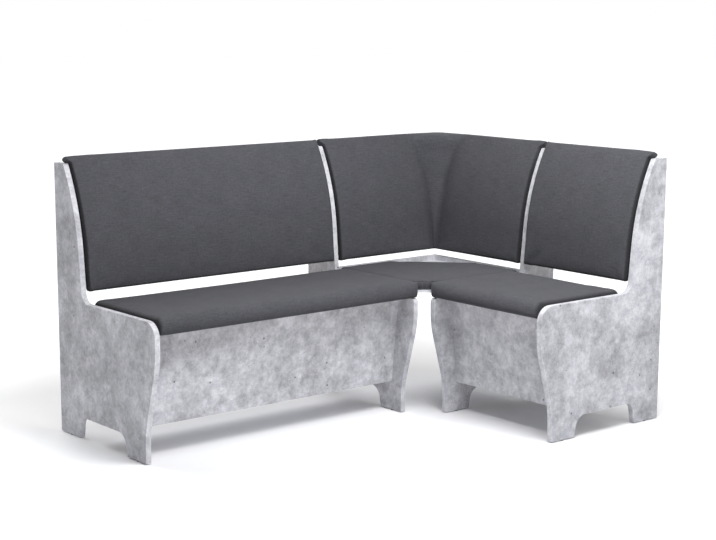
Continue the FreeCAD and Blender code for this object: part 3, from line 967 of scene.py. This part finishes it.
# %% Round its upper edges
full_weight, less_at_seats, flat_angle = 1.0, 0.87, 0.1
choose(pad, "EDGE", lambda co: near(co.z, seat_top))
shape = bmesh.from_edit_mesh(pad.data)
for rim in shape.edges:
    if rim.select and len(rim.link_faces) == 2 and rim.calc_face_angle() < flat_angle:
        rim.select_set(False)
bmesh.update_edit_mesh(pad.data)
bpy.ops.transform.edge_bevelweight(value=full_weight)
for axis in (0, 1):
    choose(pad, "EDGE", lambda co: near(co.z, seat_top) and near(co[axis], corner_lo[axis]))
    bpy.ops.transform.edge_bevelweight(value=-less_at_seats)
bpy.ops.object.mode_set(mode="OBJECT")
rounding = pad.modifiers.new("edge_roll", "BEVEL")
rounding.limit_method = "WEIGHT"
rounding.width, rounding.segments, rounding.use_clamp_overlap = 0.0115, 5, False
bpy.ops.object.modifier_apply(modifier="edge_roll")
print("rounded to", len(pad.data.polygons), "faces")

# %% Cells and cloth of the corner's seat pad
edit(pad)
for axis in (0, 1):
    nose_end = max(spot[axis] for spot in nose_ends)
    fine = between(corner_lo[axis], nose_end, cell / 2)
    for spot in fine + between(nose_end, corner_hi[axis], cell):
        at, way = [0, 0, 0], [0, 0, 0]
        at[axis], way[axis] = spot, 1
        cut(at, way)
bpy.ops.mesh.select_all(action="SELECT")
bpy.ops.mesh.remove_doubles(threshold=0.0006)
bpy.ops.mesh.normals_make_consistent(inside=False)
bpy.ops.object.mode_set(mode="OBJECT")
sheet = pad.data.uv_layers.new(name="cloth")
for loop in pad.data.loops:
    co = pad.data.vertices[loop.vertex_index].co
    sheet.data[loop.index].uv = (co.x, co.y + co.z)
print("divided into", len(pad.data.polygons), "cells")

# %% Wrinkles and painted shade at the blunt point, and the stuffing
gather_reach, wrinkles, fan, wrinkle_depth = 0.04, 3, 6, 0.0028
# Shade is painted into the hollows of the wrinkles and onto the lower part of the nose.
wrinkle_shade, edge_shade, edge_shade_reach = 0.45, 0.5, 0.014
held_height = 0.002
painted_shade = pad.data.attributes.new("painted_shade", "FLOAT", "POINT")
nose_length = (nose_ends[1] - nose_ends[0]).length
nose_along = (nose_ends[1] - nose_ends[0]).normalized()
for vertex, shading in zip(pad.data.vertices, painted_shade.data):
    co = vertex.co
    to_nose = fading(board_in - before_nose(co), gather_reach)
    if co.z > seat_low - rest_slack and to_nose > 0:
        along = (Vector(co.xy) - nose_ends[0]).dot(nose_along) / nose_length
        wrinkle = 0.5 - 0.5 * math.cos(2 * math.pi * wrinkles * along + fan * to_nose * (along - 0.5))
        co.z -= wrinkle_depth * wrinkle * to_nose
        edge = edge_shade * fading(co.z - seat_low, edge_shade_reach)
        shading.value = to_nose * (wrinkle_shade * wrinkle + edge)
resting = [number for number, v in enumerate(pad.data.vertices) if v.co.z < seat_low + held_height]
stuff(pad, resting, cap=0.003)
finish_pad(pad, "bench_base", "corner_seat_pad")

# %% [markdown]
# ## The floor
# A product studio has a white floor that runs up into a white wall. The bend
# could be modelled, but a large plane does the same here if its far part is as
# bright as the wall. So further out it glows a little, as a floor lit for
# itself does, and it runs into the wall without a line.

# %% Floor
bpy.ops.object.select_all(action="DESELECT")
bpy.ops.mesh.primitive_plane_add(size=60, location=(0, 0, 0))
floor = bpy.context.object
floor.name = "floor"
floor_finish, tree, shader = new_finish("studio_floor")
where = place_on(tree)
paint_tones = ((0.3, (0.92, 0.926, 0.942)), (0.7, (0.94, 0.946, 0.962)))
drive(tree, shader, "Base Color", noise(tree, where, 0.4, 2), paint_tones)
shader.inputs["Roughness"].default_value = 0.8
shader.inputs["Specular IOR Level"].default_value = 0.2
away = add(tree, "ShaderNodeVectorMath", {0: where}, operation="LENGTH").outputs["Value"]
glow_range = {"Value": away, "From Min": 0.85, "From Max": 1.7, "To Min": 0.0, "To Max": 0.4}
glow = add(tree, "ShaderNodeMapRange", glow_range)
shader.inputs["Emission Color"].default_value = (1, 1, 1, 1)
tree.links.new(glow.outputs["Result"], shader.inputs["Emission Strength"])
floor.data.materials.append(floor_finish)
print("floor painted", floor_finish.name)

# %% [markdown]
# ## The wall and the lamps
# The wall is the world's own light. The camera sees it as pure white, but its
# light on the bench is weaker, or the forms would go flat. One big round lamp
# hangs above and before the bench and models the pads. A small lamp would draw
# hard shadows, which a studio avoids. A soft light from behind throws the grey
# shadow that lies in front of the long bench, and a weak one from the front
# fills the boards.

# %% Wall
wall_light = 0.278
world = bpy.data.worlds.new("studio")
bpy.context.scene.world = world
world.use_nodes = True
tree = world.node_tree
backdrop = tree.nodes["Background"]
backdrop.inputs["Color"].default_value = (1, 1, 1, 1)
seen_by = add(tree, "ShaderNodeLightPath").outputs["Is Camera Ray"]
strength = add(tree, "ShaderNodeMapRange", {"Value": seen_by, "To Min": wall_light, "To Max": 1.0})
tree.links.new(strength.outputs["Result"], backdrop.inputs["Strength"])
print("the wall gives the bench", wall_light, "of the light that the camera sees")

# %% Lamps
lamp_place, lamp_aim = Vector((-0.1, -0.9, 2.1)), Vector((0.4, 0.1, 0.4))
lamp_data = bpy.data.lights.new("lamp", "AREA")
lamp_data.shape, lamp_data.size, lamp_data.energy = "DISK", 1.2, 46.5
lamp = bpy.data.objects.new("lamp", lamp_data)
lamp.location = lamp_place
lamp.rotation_mode = "QUATERNION"
lamp.rotation_quaternion = (lamp_place - lamp_aim).to_track_quat("Z", "Y")
lamp.visible_camera = False
bpy.context.scene.collection.objects.link(lamp)


def soft_sun(name, from_way, strength, spread):
    """A sun as wide as spread, in degrees, that shines from the way given."""
    data = bpy.data.lights.new(name, "SUN")
    data.energy, data.angle = strength, math.radians(spread)
    sun = bpy.data.objects.new(name, data)
    sun.rotation_mode = "QUATERNION"
    sun.rotation_quaternion = Vector(from_way).to_track_quat("Z", "Y")
    bpy.context.scene.collection.objects.link(sun)


soft_sun("front_light", (0.0, -0.88, 0.48), strength=0.62, spread=50)
soft_sun("rear_light", (0.0, 0.55, 0.83), strength=1.6, spread=40)
bpy.context.scene.view_settings.view_transform = "Standard"
print("lamps:", ", ".join(sorted(light.name for light in bpy.data.lights)))

# %% [markdown]
# ## The sizes
# The pads swell a little past the solids that they stand for. The solids' own
# box is printed.

# %% Print the CAD box
print("CAD box", [[round(x, 3) for x in c] for c in cad_box])
